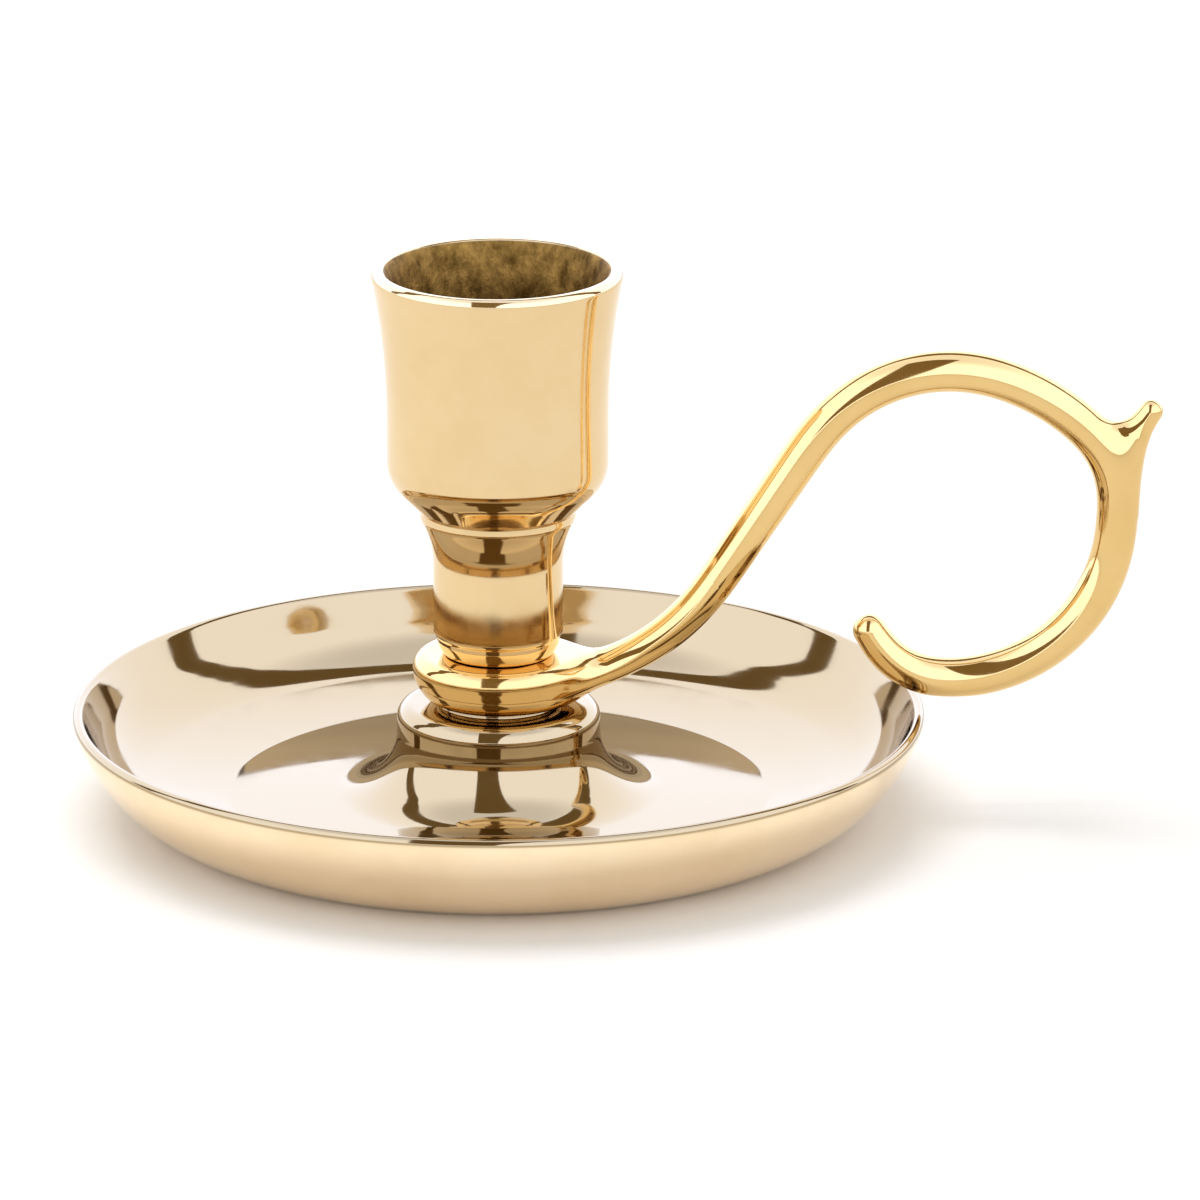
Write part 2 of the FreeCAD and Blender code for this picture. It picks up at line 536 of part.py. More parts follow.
# Candle cup: cup, bead and stem turned from one casting, with a plain bore for the
# candle and a blind tapped hole for the stud.
def make_candle_cup():
    body = new_body("candle_cup")
    turned(body, "cup_casting", [
        ("tapped_hole", "eye_top"),
        ("stem_foot_radius", "eye_top", "left", "stem_foot_rounding"),
        ("stem_ledge_radius", "eye_top + stem_foot_height", "left", "stem_edge_rounding"),
        ("stem_radius", "eye_top + stem_foot_height + stem_ledge_height"),
        ("stem_radius", "stem_flare_up", "right", "stem_flare_radius"),
        ("bead_radius", "bead_up", "left", "bead_rounding"),
        ("crease_radius", "crease_up"),
        ("cone_across", "cone_up", "left", "cup_underside_radius"),
        ("cup_radius", "cup_wall_up"),
        ("cup_radius", "cup_flare_up", "right", "cup_flare_radius"),
        ("cup_outer_across", "cup_outer_up", "left", "cup_lip_radius"),
        ("cup_lip_across", "eye_top + cup_height", "left", "cup_lip_radius"),
        ("mouth_across", "mouth_up", "left", "socket_flare_radius"),
        ("socket_radius", "socket_flare_up"),
        ("socket_radius", "socket_bottom + socket_corner", "right", "socket_corner"),
        ("socket_radius - socket_corner", "socket_bottom"),
        ("0", "socket_bottom"),
        ("0", "tapped_top"),
        ("tapped_hole", "tapped_top - drill_point"),
    ])


# Stud: threaded rod that draws the stack together, drawn at the thread's full width.
def make_tie_stud():
    body = new_body("tie_stud")
    turned(body, "stud_rod", [
        ("0", "stud_bottom"),
        ("stud_radius - stud_chamfer", "stud_bottom"),
        ("stud_radius", "stud_bottom + stud_chamfer"),
        ("stud_radius", "stud_top - stud_chamfer"),
        ("stud_radius - stud_chamfer", "stud_top"),
        ("0", "stud_top"),
    ])


# Flat washer: punched steel ring against the recess's roof.
def make_flat_washer():
    body = new_body("flat_washer")
    turned(body, "washer_ring", [
        ("stud_hole", "washer_bottom"),
        ("washer_radius", "washer_bottom"),
        ("washer_radius", "recess_top"),
        ("stud_hole", "recess_top"),
    ])


# Spring washer: split steel ring, flat as it is when the nut is tight.
def make_spring_washer():
    body = new_body("spring_washer")
    ring = turned(body, "spring_ring", [
        ("stud_hole", "spring_washer_bottom"),
        ("spring_washer_radius", "spring_washer_bottom"),
        ("spring_washer_radius", "washer_bottom"),
        ("stud_hole", "washer_bottom"),
    ])
    bind(ring, "Angle", "360 - spring_washer_slit")


# Nut: hexagon tapped for the stud, its corners bevelled at both faces.
def make_hex_nut():
    body = new_body("hex_nut")
    sketch = new_sketch(body, "nut_outline", "XY_Plane")
    bind(sketch, "AttachmentOffset.Base.z", "nut_bottom")
    corner = value_of("nut_corner")
    circle = Part.Circle(FreeCAD.Vector(0, 0, 0), FreeCAD.Vector(0, 0, 1), corner)
    round_corners = sketch.addGeometry(circle, True)
    sketch.addConstraint(Sketcher.Constraint("Coincident", round_corners, 3, -1, 1))
    dimension(sketch, "Radius", (round_corners,), "nut_corner")
    points = [FreeCAD.Vector(corner * math.cos(turn * math.pi / 3), corner * math.sin(turn * math.pi / 3), 0)
              for turn in range(6)]
    flats = [sketch.addGeometry(Part.LineSegment(points[index], points[(index + 1) % 6]), False)
             for index in range(6)]
    for index, flat in enumerate(flats):
        sketch.addConstraint(Sketcher.Constraint("Coincident", flat, 2, flats[(index + 1) % 6], 1))
        sketch.addConstraint(Sketcher.Constraint("PointOnObject", flat, 1, round_corners))
    for flat in flats[1:]:
        sketch.addConstraint(Sketcher.Constraint("Equal", flats[0], flat))
    sketch.addConstraint(Sketcher.Constraint("PointOnObject", flats[0], 1, -1))
    hole = Part.Circle(FreeCAD.Vector(0, 0, 0), FreeCAD.Vector(0, 0, 1), value_of("tapped_hole"))
    thread = sketch.addGeometry(hole, False)
    sketch.addConstraint(Sketcher.Constraint("Coincident", thread, 3, -1, 1))
    dimension(sketch, "Radius", (thread,), "tapped_hole")
    document.recompute()
    nut = body.newObject("PartDesign::Pad", "nut_block")
    nut.Profile = sketch
    bind(nut, "Length", "nut_height")
    document.recompute()
    for name, face, away in (("upper_bevel", "spring_washer_bottom", "-"), ("lower_bevel", "nut_bottom", "+")):
        turned(body, name, [
            ("nut_face_radius", face),
            ("nut_cut_radius", face),
            ("nut_cut_radius", "%s %s nut_cut_depth" % (face, away)),
        ], kind="PartDesign::Groove")


def write_parts():
    """Check that every object and shape is sound, then write one file for each piece."""
    document.recompute()
    broken = [item.Name for item in document.Objects
              if "Invalid" in item.State or "Error" in item.State]
    if broken:
        raise RuntimeError("not computed: " + ", ".join(broken))
    os.makedirs("parts", exist_ok=True)
    for body in document.findObjects("PartDesign::Body"):
        shape = body.Shape
        if shape.isNull() or not shape.isValid() or len(shape.Solids) != 1:
            raise RuntimeError("unsound shape: " + body.Label)
        shape.exportStep(os.path.join("parts", body.Label + ".step"))


make_drip_pan()
make_loop_handle()
make_candle_cup()
make_tie_stud()
make_flat_washer()
make_spring_washer()
make_hex_nut()
write_parts()
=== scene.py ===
import math

import bpy
import numpy as np
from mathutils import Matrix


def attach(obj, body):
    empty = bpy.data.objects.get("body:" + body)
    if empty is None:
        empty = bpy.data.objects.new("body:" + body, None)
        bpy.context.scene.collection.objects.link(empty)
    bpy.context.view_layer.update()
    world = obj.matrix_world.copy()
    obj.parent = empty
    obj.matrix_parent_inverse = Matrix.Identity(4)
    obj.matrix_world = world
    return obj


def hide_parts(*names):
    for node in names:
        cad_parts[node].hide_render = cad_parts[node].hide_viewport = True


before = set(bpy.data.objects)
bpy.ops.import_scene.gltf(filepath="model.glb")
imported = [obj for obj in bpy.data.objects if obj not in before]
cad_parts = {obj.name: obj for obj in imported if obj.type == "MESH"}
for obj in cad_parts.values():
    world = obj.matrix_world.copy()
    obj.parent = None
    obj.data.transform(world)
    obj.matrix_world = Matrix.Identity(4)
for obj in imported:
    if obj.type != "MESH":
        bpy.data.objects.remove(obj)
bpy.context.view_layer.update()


# Drip pan: a shallow bowl with a rolled lip and a hollow pedestal in its middle.
# Sand cast in brass, turned on a lathe inside and out, then buffed to a mirror.
# The stud through the pedestal's roof holds the handle and the cup on it.
PAN_RIM = 50.0
PAN_HEIGHT = 12.6
PAN_LIP = 0.65
PAN_FOOT = 38.7
PAN_WALL_ARC = 17.3
PAN_FLOOR = 2.2
FLAT_FLOOR = 31.8
FLOOR_FALL = 0.3
FLOOR_RISE_ARC = 85.0
FLOOR_RISE_START = math.radians(7.5)
FLOOR_RISE = math.radians(14.0)
KNUCKLE_ARC = 9.0
PEDESTAL = 11.95
PEDESTAL_TOP = 13.2
PEDESTAL_SHOULDER = 1.75
PEDESTAL_COVE = 7.5
PEDESTAL_WALL = 2.6
RECESS_ROOF = 10.2
RECESS_CORNER = 0.4
SEAT = 7.2
SEAT_TOP = 13.7
STUD_HOLE = 2.65
PAN_SIDES = 320
PER_METRE = 1000
OUTLINE_STEP = 0.02
CORNER_BLUR = 0.12
LONGEST_SIDE = 1.2
LARGEST_TURN = 0.09
PAN_COLOUR = (0.98, 0.80, 0.555, 1.0)
PAN_ROUGHNESS = 0.035
# darker brass for the faces that look up or sideways: painted shade, not a tone of the metal
WELL_SHADE_COLOUR = (0.455, 0.34, 0.19, 1.0)
WELL_SHADE_EDGES = (-0.3, -0.05)
TARNISH_SHADE = (0.93, 0.90, 0.83, 1.0)
TARNISH_NOISE = {"Scale": 70.0, "Detail": 5.0, "Roughness": 0.62}
TARNISH_EDGES = (0.28, 0.62)
SMEAR_NOISE = {"Scale": 240.0, "Detail": 6.0}
SMEAR_EDGES = (0.3, 0.8)
SMEAR_DULLING = 0.07
WAVE_NOISE = {"Scale": 55.0, "Detail": 1.0}
WAVE_STRENGTH = 0.10
WAVE_DEPTH = 0.0006
MIX_SOCKETS = {"RGBA": ("RGBA", (6, 7, 2)), "VALUE": ("FLOAT", (2, 3, 0))}


def drawn(corners, closed):
    """Closely spaced points along an outline of straight and round sides.

    A corner is (r, z), or (r, z, side, radius) when the way to the next corner is an arc
    whose middle lies on the left (+1) or on the right (-1):
    middle = chord's middle + side * sqrt(radius^2 - (chord / 2)^2) * left normal.
    """
    pieces = []
    count = len(corners)
    for index in range(count if closed else count - 1):
        a = np.array(corners[index][:2], float)
        b = np.array(corners[(index + 1) % count][:2], float)
        chord = b - a
        length = np.hypot(*chord)
        if len(corners[index]) == 2:
            steps = max(int(length / OUTLINE_STEP), 1)
            t = np.arange(steps)[:, None] / steps
            pieces.append(a + chord * t)
            continue
        side, radius = corners[index][2:]
        left = np.array([-chord[1], chord[0]]) / length
        height = math.sqrt(max(radius ** 2 - (length / 2) ** 2, 0))
        middle = (a + b) / 2 + left * side * height
        start = math.atan2(*(a - middle)[::-1])
        turn = 2 * math.asin(min(length / (2 * radius), 1)) * side
        steps = max(int(abs(turn) * radius / OUTLINE_STEP), 2)
        angle = start + turn * np.arange(steps) / steps
        pieces.append(middle + radius * np.stack([np.cos(angle), np.sin(angle)], 1))
    if not closed:
        pieces.append(np.array([corners[-1][:2]], float))
    return np.concatenate(pieces)


def bell(width, spread, step):
    """Weights of a Gaussian on both sides of its middle, out to a width, that add up to one."""
    count = int(width / step)
    weights = np.exp(-0.5 * (np.arange(-count, count + 1) * step / spread) ** 2)
    return weights / weights.sum()


def softened(points, closed):
    """Outline with its corners eased by a Gaussian, then thinned.

    Fewer points are kept where it runs straight: one point for every unit of
    length / LONGEST_SIDE + turned angle / LARGEST_TURN.
    """
    weights = bell(4 * CORNER_BLUR, CORNER_BLUR, OUTLINE_STEP)
    width = len(weights) // 2
    if closed:
        padded = np.concatenate([points[-width:], points, points[:width]])
    else:
        mirror = np.array([-1.0, 1.0])
        before = points[width:0:-1] * mirror
        after = points[-2:-width - 2:-1] * mirror
        padded = np.concatenate([before, points, after])
    eased = np.stack([np.convolve(padded[:, k], weights, "valid") for k in range(2)], 1)
    if closed:
        eased = np.concatenate([eased, eased[:1]])
    ahead = np.diff(eased, axis=0)
    length = np.hypot(*ahead.T)
    angle = np.unwrap(np.arctan2(ahead[:, 1], ahead[:, 0]))
    turned = np.abs(np.diff(angle, prepend=angle[0]))
    along = np.concatenate([[0], np.cumsum(length / LONGEST_SIDE + turned / LARGEST_TURN)])
    kept = np.linspace(0, along[-1], int(along[-1]) + 2)
    result = np.stack([np.interp(kept, along, eased[:, k]) for k in range(2)], 1)
    if closed:
        return result[:-1]
    result[[0, -1], 0] = 0
    return result


def mesh_object(name, points, quads, triangles=()):
    """Smooth mesh of arrays of corners, in millimetres, turned outward by its signed volume."""
    points = np.asarray(points, float) / PER_METRE
    faces = [np.asarray(part, np.int64).reshape(-1, sides)
             for part, sides in ((quads, 4), (triangles, 3)) if len(part)]
    volume = 0.0
    for part in faces:
        a = points[part[:, 0]]
        for k in range(1, part.shape[1] - 1):
            b, c = points[part[:, k]], points[part[:, k + 1]]
            volume += np.einsum("ij,ij->", a, np.cross(b, c))
    if volume < 0:
        faces = [part[:, ::-1] for part in faces]
    mesh = bpy.data.meshes.new(name)
    mesh.vertices.add(len(points))
    mesh.vertices.foreach_set("co", points.astype(np.float32).ravel())
    corners = np.concatenate([part.ravel() for part in faces])
    sizes = np.concatenate([np.full(len(part), part.shape[1]) for part in faces])
    mesh.loops.add(len(corners))
    mesh.loops.foreach_set("vertex_index", corners.astype(np.int32))
    mesh.polygons.add(len(sizes))
    starts = np.concatenate([[0], np.cumsum(sizes)[:-1]])
    mesh.polygons.foreach_set("loop_start", starts.astype(np.int32))
    mesh.polygons.foreach_set("loop_total", sizes.astype(np.int32))
    mesh.update(calc_edges=True)
    mesh.polygons.foreach_set("use_smooth", np.ones(len(sizes), bool))
    mesh.validate()
    thing = bpy.data.objects.new(name, mesh)
    bpy.context.scene.collection.objects.link(thing)
    return thing


def ringed_mesh(name, grid, poles=None):
    """Mesh of rows of points that each run round in a ring.

    Without poles the last row joins the first one, as on a tyre. With two poles the
    first and the last row are closed by a fan of triangles each.
    """
    rows, sides = grid.shape[:2]
    bands = rows if poles is None else rows - 1
    row, column = np.meshgrid(np.arange(bands), np.arange(sides), indexing="ij")
    above = (row + 1) % rows
    beside = (column + 1) % sides
    quads = np.stack([row * sides + column, row * sides + beside,
                      above * sides + beside, above * sides + column], 2).reshape(-1, 4)
    points = grid.reshape(-1, 3)
    if poles is None:
        return mesh_object(name, points, quads)
    side = np.arange(sides)
    after = (side + 1) % sides
    last = (rows - 1) * sides
    fans = np.concatenate([
        np.stack([np.full(sides, len(points)), after, side], 1),
        np.stack([np.full(sides, len(points) + 1), last + side, last + after], 1)])
    return mesh_object(name, np.concatenate([points, poles]), quads, fans)


def turned_surface(name, outline, sides, closed):
    """Outline (r, z) turned about the Z axis: (r cos a, r sin a, z) for `sides` angles a.

    A closed outline gives a ring; an open one starts and ends on the axis, where the
    turned rows shrink to single poles.
    """
    angle = 2 * np.pi * np.arange(sides) / sides
    rows = outline if closed else outline[1:-1]
    grid = np.stack([rows[:, :1] * np.cos(angle), rows[:, :1] * np.sin(angle),
                     np.repeat(rows[:, 1:], sides, 1)], 2)
    if closed:
        return ringed_mesh(name, grid)
    return ringed_mesh(name, grid, [[0, 0, outline[0, 1]], [0, 0, outline[-1, 1]]])


def noise(material, vector, settings):
    """Noise texture with the given settings, on a vector socket."""
    texture = material.node_tree.nodes.new("ShaderNodeTexNoise")
    for name, value in settings.items():
        texture.inputs[name].default_value = value
    material.node_tree.links.new(vector, texture.inputs["Vector"])
    return texture.outputs["Fac"]


def two_tones(material, share, edges, dark, light):
    """Colour that runs from dark to light while a share goes from one edge to the other."""
    ramp = material.node_tree.nodes.new("ShaderNodeValToRGB")
    for stop, edge, colour in zip(ramp.color_ramp.elements, edges, (dark, light)):
        stop.position = edge
        stop.color = colour
    material.node_tree.links.new(share, ramp.inputs["Fac"])
    return ramp.outputs["Color"]


def ranged(material, value, edges, results, smooth=False):
    """Value mapped from two edges to two results, straight or with soft ends."""
    node = material.node_tree.nodes.new("ShaderNodeMapRange")
    if smooth:
        node.interpolation_type = "SMOOTHSTEP"
    node.inputs["From Min"].default_value, node.inputs["From Max"].default_value = edges
    node.inputs["To Min"].default_value, node.inputs["To Max"].default_value = results
    material.node_tree.links.new(value, node.inputs["Value"])
    return node.outputs["Result"]


def blended(material, name, share, other):
    """Mix a colour, a number or a socket into what feeds the shader's named socket.

    MIX_SOCKETS gives, by the kind of socket, the kind of mix and its two inputs and output.
    """
    nodes = material.node_tree.nodes
    links = material.node_tree.links
    target = nodes["Principled BSDF"].inputs[name]
    mix = nodes.new("ShaderNodeMix")
    mix.data_type, (first, second, result) = MIX_SOCKETS[target.type]
    links.new(share, mix.inputs["Factor"])
    links.new(target.links[0].from_socket, mix.inputs[first])
    if isinstance(other, bpy.types.NodeSocket):
        links.new(other, mix.inputs[second])
    else:
        mix.inputs[second].default_value = other
    links.new(mix.outputs[result], target)


def metal(name):
    """New metal material with its shader and the object's own coordinates."""
    material = bpy.data.materials.new(name)
    material.use_nodes = True
    shader = material.node_tree.nodes["Principled BSDF"]
    shader.inputs["Metallic"].default_value = 1.0
    place = material.node_tree.nodes.new("ShaderNodeTexCoord")
    return material, shader, place.outputs["Object"]


def brass(name, colour, roughness):
    """Buffed brass: warm metal with faint tarnish clouds, buffing marks and a gentle waviness."""
    material, shader, place = metal(name)
    links = material.node_tree.links
    tarnish = noise(material, place, TARNISH_NOISE)
    shade = tuple(np.array(colour) * TARNISH_SHADE)
    tint = two_tones(material, tarnish, TARNISH_EDGES, shade, colour)
    links.new(tint, shader.inputs["Base Color"])
    smear = noise(material, place, SMEAR_NOISE)
    gloss = ranged(material, smear, SMEAR_EDGES, (roughness, roughness + SMEAR_DULLING))
    links.new(gloss, shader.inputs["Roughness"])
    swell = material.node_tree.nodes.new("ShaderNodeBump")
    swell.inputs["Strength"].default_value = WAVE_STRENGTH
    swell.inputs["Distance"].default_value = WAVE_DEPTH
    links.new(noise(material, place, WAVE_NOISE), swell.inputs["Height"])
    links.new(swell.outputs["Normal"], shader.inputs["Normal"])
    return material


def well_painted_shade(material):
    """Painted shade: faces that look up or sideways get a darker brass colour, so that the bowl's inside
    and what it mirrors come out dimmer.

    share = the normal's z, eased between WELL_SHADE_EDGES, so that the outer wall stays bright.
    """
    nodes = material.node_tree.nodes
    facing = nodes.new("ShaderNodeNewGeometry")
    parts = nodes.new("ShaderNodeSeparateXYZ")
    material.node_tree.links.new(facing.outputs["Normal"], parts.inputs["Vector"])
    share = ranged(material, parts.outputs["Z"], WELL_SHADE_EDGES, (0.0, 1.0), smooth=True)
    blended(material, "Base Color", share, WELL_SHADE_COLOUR)
    return material


cove_middle = (PEDESTAL + PEDESTAL_COVE, PAN_FLOOR + PEDESTAL_COVE)
recess = PEDESTAL - PEDESTAL_WALL
recess_mouth = cove_middle[0] - math.sqrt((PEDESTAL_COVE + PEDESTAL_WALL) ** 2 - cove_middle[1] ** 2)
lip = np.array([PAN_RIM - PAN_LIP, PAN_HEIGHT - PAN_LIP])
foot = np.array([PAN_FOOT, 0.0])
reach = np.hypot(*(lip - foot))
along = (PAN_WALL_ARC ** 2 - (PAN_WALL_ARC - PAN_LIP) ** 2 + reach ** 2) / (2 * reach)
across = math.sqrt(PAN_WALL_ARC ** 2 - along ** 2)
ahead = (lip - foot) / reach
wall_middle = foot + along * ahead + across * np.array([-ahead[1], ahead[0]])
lip_outer = wall_middle + (lip - wall_middle) * PAN_WALL_ARC / (PAN_WALL_ARC - PAN_LIP)
knuckle = np.array([
    FLAT_FLOOR + FLOOR_RISE_ARC * (math.sin(FLOOR_RISE) - math.sin(FLOOR_RISE_START)),
    PAN_FLOOR + FLOOR_RISE_ARC * (math.cos(FLOOR_RISE_START) - math.cos(FLOOR_RISE))])
knuckle_middle = knuckle + KNUCKLE_ARC * np.array([-math.sin(FLOOR_RISE), math.cos(FLOOR_RISE)])
span = lip - knuckle_middle
slope = math.atan2(span[1], span[0]) + math.asin((KNUCKLE_ARC + PAN_LIP) / np.hypot(*span))
wall_side = np.array([math.sin(slope), -math.cos(slope)])
wall_foot = knuckle_middle + KNUCKLE_ARC * wall_side
lip_inner = lip - PAN_LIP * wall_side
pan_outline = softened(drawn([
    (STUD_HOLE, RECESS_ROOF),
    (recess - RECESS_CORNER, RECESS_ROOF, -1, RECESS_CORNER),
    (recess, RECESS_ROOF - RECESS_CORNER),
    (recess, cove_middle[1], 1, PEDESTAL_COVE + PEDESTAL_WALL),
    (recess_mouth, 0.0),
    (PAN_FOOT, 0.0, 1, PAN_WALL_ARC),
    (*lip_outer, 1, PAN_LIP),
    (lip[0], PAN_HEIGHT, 1, PAN_LIP),
    tuple(lip_inner),
    (*wall_foot, -1, KNUCKLE_ARC),
    (*knuckle, -1, FLOOR_RISE_ARC),
    (FLAT_FLOOR, PAN_FLOOR),
    (cove_middle[0], PAN_FLOOR + FLOOR_FALL, -1, PEDESTAL_COVE),
    (PEDESTAL, cove_middle[1]),
    (PEDESTAL, PEDESTAL_TOP - PEDESTAL_SHOULDER, 1, PEDESTAL_SHOULDER),
    (PEDESTAL - PEDESTAL_SHOULDER, PEDESTAL_TOP),
    (SEAT, PEDESTAL_TOP),
    (SEAT, SEAT_TOP),
    (STUD_HOLE, SEAT_TOP),
], closed=True), closed=True)
pan = turned_surface("drip_pan_brass", pan_outline, PAN_SIDES, closed=True)
# the pan's brass, with painted shade on its faces that look up or sideways
pan.data.materials.append(well_painted_shade(brass("pan_brass", PAN_COLOUR, PAN_ROUGHNESS)))
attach(pan, "root")
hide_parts("drip_pan")


# Candle cup and stem: one casting, turned and buffed outside, left as cast inside the cup.
# A thin bead parts the stem from the cup, and the lip is rolled outward. It screws onto
# the stud and presses the handle's eye onto the pan.
EYE_TOP = 19.3
STEM_FOOT = 6.4
FOOT_ARC = 4.0
STEM_LEDGE = 7.3
LEDGE_UP = 2.2
LEDGE_RISE = 0.6
STEM = 7.6
FLARE_UP = 30.0
FLARE_RISE = 5.4
BEAD = 8.9
BEAD_ARC = 1.6
CREASE = 9.05
CREASE_UP = 36.7
CUP = 12.95
CUP_UNDERSIDE = 5.2
CUP_FLARE_UP = 48.0
CUP_TOP = 65.8
CUP_LIP = 0.88
LIP_OUT = 0.8
SOCKET = 11.3
SOCKET_FLOOR = 41.3
SOCKET_CORNER = 1.2
SOCKET_FLARE_UP = 57.0
TAPPED = 2.55
TAPPED_TOP = 31.0
DRILL_POINT = 1.4
CUP_SIDES = 256
CUP_COLOUR = (0.80, 0.60, 0.335, 1.0)
CUP_ROUGHNESS = 0.045
AS_CAST_FLOOR = 0.0411
AS_CAST_TOP = 0.0657
AS_CAST_FLARE = 0.0102
AS_CAST_SLANT = -0.05
AS_CAST_EDGE = 0.00015
AS_CAST_DARK = (0.12, 0.060, 0.011, 1.0)
AS_CAST_LIGHT = (0.42, 0.235, 0.055, 1.0)
AS_CAST_ROUGHNESS = 0.55
GRAIN_NOISE = {"Scale": 520.0, "Detail": 7.0, "Roughness": 0.65}
GRAIN_STRETCH = (1.0, 1.0, 0.6)
GRAIN_EDGES = (0.36, 0.68)
PIT_DEPTH = 0.0004

stem_flare = ((BEAD - STEM) ** 2 + FLARE_RISE ** 2) / (2 * (BEAD - STEM))
stem_edge = ((STEM - STEM_LEDGE) ** 2 + LEDGE_RISE ** 2) / (2 * (STEM - STEM_LEDGE))
diagonal = math.sqrt(0.5)
cone_out = CUP - CUP_UNDERSIDE * (1 - diagonal)
cone_up = CREASE_UP + cone_out - CREASE
cup_wall_up = cone_up + CUP_UNDERSIDE * diagonal
cup_lip = np.array([CUP + LIP_OUT, CUP_TOP - CUP_LIP])
rise = cup_lip[1] - CUP_FLARE_UP
cup_flare = (LIP_OUT ** 2 + rise ** 2 - CUP_LIP ** 2) / (2 * (LIP_OUT + CUP_LIP))
flare_middle = np.array([CUP + cup_flare, CUP_FLARE_UP])
cup_outer = cup_lip + (flare_middle - cup_lip) * CUP_LIP / (cup_flare + CUP_LIP)
inner_offset = cup_lip[0] - SOCKET
inner_rise = cup_lip[1] - SOCKET_FLARE_UP
socket_flare = ((inner_offset ** 2 + inner_rise ** 2 - CUP_LIP ** 2)
                / (2 * (inner_offset - CUP_LIP)))
socket_middle = np.array([SOCKET + socket_flare, SOCKET_FLARE_UP])
mouth = cup_lip + (cup_lip - socket_middle) * CUP_LIP / (socket_flare - CUP_LIP)
cup_outline = softened(drawn([
    (0.0, TAPPED_TOP),
    (TAPPED, TAPPED_TOP - DRILL_POINT),
    (TAPPED, EYE_TOP),
    (STEM_FOOT, EYE_TOP, 1, FOOT_ARC),
    (STEM_LEDGE, EYE_TOP + LEDGE_UP, 1, stem_edge),
    (STEM, EYE_TOP + LEDGE_UP + LEDGE_RISE),
    (STEM, FLARE_UP, -1, stem_flare),
    (BEAD, FLARE_UP + FLARE_RISE, 1, BEAD_ARC),
    (CREASE, CREASE_UP),
    (cone_out, cone_up, 1, CUP_UNDERSIDE),
    (CUP, cup_wall_up),
    (CUP, CUP_FLARE_UP, -1, cup_flare),
    (*cup_outer, 1, CUP_LIP),
    (cup_lip[0], CUP_TOP, 1, CUP_LIP),
    (*mouth, 1, socket_flare),
    (SOCKET, SOCKET_FLARE_UP),
    (SOCKET, SOCKET_FLOOR + SOCKET_CORNER, -1, SOCKET_CORNER),
    (SOCKET - SOCKET_CORNER, SOCKET_FLOOR),
    (0.0, SOCKET_FLOOR),
], closed=False), closed=False)
cup = turned_surface("candle_cup_brass", cup_outline, CUP_SIDES, closed=False)


def as_cast(material):
    """Within the bore the brass stays as cast: dark, rough and grained.

    share = (z > AS_CAST_FLOOR) * (z < AS_CAST_TOP) * (r + AS_CAST_SLANT z < AS_CAST_FLARE),
    each eased over AS_CAST_EDGE.
    """
    nodes = material.node_tree.nodes
    links = material.node_tree.links
    shader = nodes["Principled BSDF"]
    place = nodes.new("ShaderNodeTexCoord").outputs["Object"]
    parts = nodes.new("ShaderNodeSeparateXYZ")
    links.new(place, parts.inputs["Vector"])
    flat = nodes.new("ShaderNodeCombineXYZ")
    links.new(parts.outputs["X"], flat.inputs["X"])
    links.new(parts.outputs["Y"], flat.inputs["Y"])
    out = nodes.new("ShaderNodeVectorMath")
    out.operation = "LENGTH"
    links.new(flat.outputs["Vector"], out.inputs[0])
    slant = nodes.new("ShaderNodeMath")
    slant.operation = "MULTIPLY_ADD"
    slant.inputs[1].default_value = AS_CAST_SLANT
    links.new(parts.outputs["Z"], slant.inputs[0])
    links.new(out.outputs["Value"], slant.inputs[2])
    above = (AS_CAST_FLOOR, AS_CAST_FLOOR + AS_CAST_EDGE)
    below = (AS_CAST_TOP, AS_CAST_TOP - AS_CAST_EDGE)
    within = (AS_CAST_FLARE, AS_CAST_FLARE - AS_CAST_EDGE)
    share = ranged(material, parts.outputs["Z"], above, (0.0, 1.0), smooth=True)
    for source, edges in ((parts.outputs["Z"], below), (slant.outputs["Value"], within)):
        both = nodes.new("ShaderNodeMath")
        both.operation = "MULTIPLY"
        links.new(share, both.inputs[0])
        links.new(ranged(material, source, edges, (0.0, 1.0), smooth=True), both.inputs[1])
        share = both.outputs["Value"]
    stretch = nodes.new("ShaderNodeMapping")
    stretch.inputs["Scale"].default_value = GRAIN_STRETCH
    links.new(place, stretch.inputs["Vector"])
    grain = noise(material, stretch.outputs["Vector"], GRAIN_NOISE)
    stain = two_tones(material, grain, GRAIN_EDGES, AS_CAST_DARK, AS_CAST_LIGHT)
    blended(material, "Base Color", share, stain)
    blended(material, "Roughness", share, AS_CAST_ROUGHNESS)
    pits = nodes.new("ShaderNodeBump")
    pits.inputs["Distance"].default_value = PIT_DEPTH
    links.new(share, pits.inputs["Strength"])
    links.new(grain, pits.inputs["Height"])
    links.new(shader.inputs["Normal"].links[0].from_socket, pits.inputs["Normal"])
    links.new(pits.outputs["Normal"], shader.inputs["Normal"])
    return material


cup.data.materials.append(as_cast(brass("cup_brass", CUP_COLOUR, CUP_ROUGHNESS)))
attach(cup, "root")
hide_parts("candle_cup")


